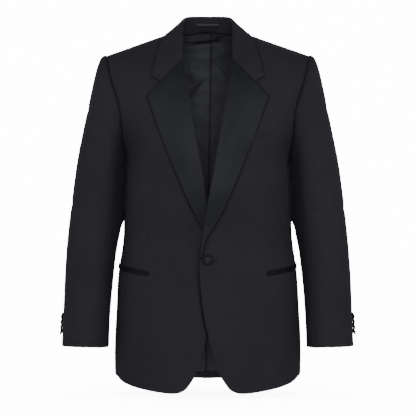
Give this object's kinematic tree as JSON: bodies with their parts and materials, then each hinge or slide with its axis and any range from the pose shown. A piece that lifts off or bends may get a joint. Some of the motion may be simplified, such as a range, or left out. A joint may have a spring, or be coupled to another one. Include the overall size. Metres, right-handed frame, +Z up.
{
  "type": "tuxedo jacket",
  "caption": "Single-breasted dinner jacket in black wool with satin notch lapels, welted chest pocket, jetted hip pockets and covered buttons, filled out as if worn.",
  "frame": {"origin": "midway between the shoulders, at the height where the shoulder seams meet the collar", "axes": "+Z up, the front faces -Y, the wearer's left side is +X"},
  "size_m": [0.6482, 0.2683, 0.8259],
  "materials": {
    "wool": "matte fine wool",
    "satin": "soft satin",
    "lining": "smooth twill lining"
  },
  "bodies": {
    "root": {"front_left": "wool", "side_left": "wool", "back_left": "wool", "top_sleeve_left": "wool", "under_sleeve_left": "wool", "lining_back_left": "lining", "lapel_left": "satin", "jet_upper_left": "satin", "jet_lower_left": "satin", "cuff_button_left_1": "satin", "cuff_button_left_2": "satin", "cuff_button_left_3": "satin", "cuff_button_left_4": "satin", "front_right": "wool", "side_right": "wool", "back_right": "wool", "top_sleeve_right": "wool", "under_sleeve_right": "wool", "lining_back_right": "lining", "lapel_right": "satin", "jet_upper_right": "satin", "jet_lower_right": "satin", "cuff_button_right_1": "satin", "cuff_button_right_2": "satin", "cuff_button_right_3": "satin", "cuff_button_right_4": "satin", "collar": "wool", "welt_chest": "wool", "button_front": "satin", "hanger_loop": "lining"}
  },
  "joints": []
}
